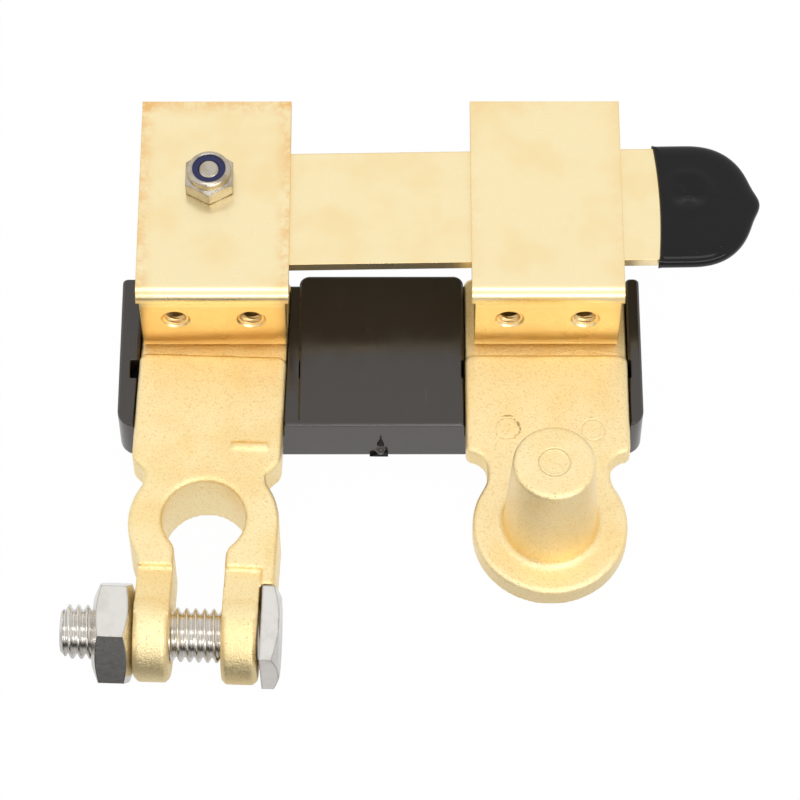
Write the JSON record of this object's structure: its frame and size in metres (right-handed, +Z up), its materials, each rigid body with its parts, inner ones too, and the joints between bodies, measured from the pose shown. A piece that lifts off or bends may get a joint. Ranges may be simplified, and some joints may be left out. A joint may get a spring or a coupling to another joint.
{
  "type": "knife blade battery disconnect switch",
  "caption": "Battery terminal disconnect: brass knife blade swinging between folded jaws on a black base, with a post clamp and a tapered post.",
  "frame": {"origin": "centre of the flat underside of the moulded base, the gate mark on its front face left out", "axes": "+X along the closed blade towards its black grip, +Y towards the open mouths of the jaws, away from the clamp and the post, +Z up, the way the tapered post points"},
  "size_m": [0.0929, 0.0794, 0.0286],
  "materials": {
    "moulded_base": "gloss",
    "cast_brass": "grainy casting",
    "rolled_brass": "satin sheet",
    "dipped_grip": "gloss",
    "plated_steel": "bright plating",
    "blue_nylon": "satin"
  },
  "bodies": {
    "switch": {"base": "moulded_base", "clamp_terminal": "cast_brass", "post_terminal": "cast_brass", "left_jaw": "rolled_brass", "right_jaw": "rolled_brass", "pivot_bolt": "plated_steel", "pivot_lock_nut": "plated_steel", "lock_nut_insert": "blue_nylon", "clamp_bolt": "plated_steel", "base_screw_left_outer": "plated_steel", "base_screw_left_inner": "plated_steel", "base_screw_right_inner": "plated_steel", "base_screw_right_outer": "plated_steel"},
    "blade": {"blade": "rolled_brass", "blade_grip": "dipped_grip"},
    "clamp_nut": {"clamp_nut": "plated_steel"}
  },
  "joints": [
    {"name": "blade_swing", "type": "hinge", "parent": "switch", "child": "blade", "pos_m": [-0.02295, 0.0185, 0.01845], "axis": [0, 0, 1], "range_deg": [-5, 220]},
    {"name": "clamp_nut_turn", "type": "hinge", "parent": "switch", "child": "clamp_nut", "pos_m": [-0.02392, -0.04047, 0.00275], "axis": [0.9994, -0.0349, 0], "continuous": true}
  ]
}
